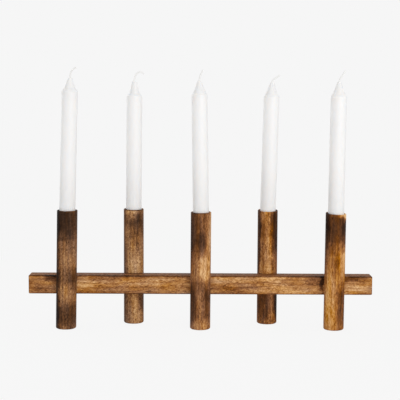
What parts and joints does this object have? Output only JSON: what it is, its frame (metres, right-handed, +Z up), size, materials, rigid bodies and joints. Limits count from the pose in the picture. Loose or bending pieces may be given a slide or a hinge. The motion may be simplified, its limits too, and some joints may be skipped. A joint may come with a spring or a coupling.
{
  "type": "candle holder",
  "caption": "Long low wooden candle holder: round posts lapped to the front and back of a square crossbar in turn, each bored at the top for a straight white candle.",
  "frame": {"origin": "centre of the holder's footprint, on the table top that the five posts stand on", "axes": "+X along the crossbar to the right as seen from the front, +Y from the front row of posts to the rear row, +Z up"},
  "size_m": [0.48, 0.069, 0.3615],
  "materials": {
    "stained_wood": "brown stained hardwood, satin lacquer, darker patches",
    "dowel_wood": "bare beech",
    "wax": "white candle wax, soft sheen",
    "wick": "waxed white braided cotton"
  },
  "bodies": {
    "holder": {"crossbar": "stained_wood", "post_1": "stained_wood", "post_2": "stained_wood", "post_3": "stained_wood", "post_4": "stained_wood", "post_5": "stained_wood", "dowel_1": "dowel_wood", "dowel_2": "dowel_wood", "dowel_3": "dowel_wood", "dowel_4": "dowel_wood", "dowel_5": "dowel_wood"},
    "candle_1_body": {"candle_1": "wax", "wick_1": "wick"},
    "candle_2_body": {"candle_2": "wax", "wick_2": "wick"},
    "candle_3_body": {"candle_3": "wax", "wick_3": "wick"},
    "candle_4_body": {"candle_4": "wax", "wick_4": "wick"},
    "candle_5_body": {"candle_5": "wax", "wick_5": "wick"}
  },
  "joints": [
    {"name": "candle_1_lift", "type": "slide", "parent": "holder", "child": "candle_1_body", "axis": [0.027, 0, 0.9996], "range_m": [0, 0.035]},
    {"name": "candle_2_lift", "type": "slide", "parent": "holder", "child": "candle_2_body", "axis": [0.007, 0, 1], "range_m": [0, 0.035]},
    {"name": "candle_3_lift", "type": "slide", "parent": "holder", "child": "candle_3_body", "axis": [-0.0157, 0, 0.9999], "range_m": [0, 0.035]},
    {"name": "candle_4_lift", "type": "slide", "parent": "holder", "child": "candle_4_body", "axis": [0.0218, 0, 0.9998], "range_m": [0, 0.035]},
    {"name": "candle_5_lift", "type": "slide", "parent": "holder", "child": "candle_5_body", "axis": [0.0079, 0, 1], "range_m": [0, 0.035]}
  ]
}
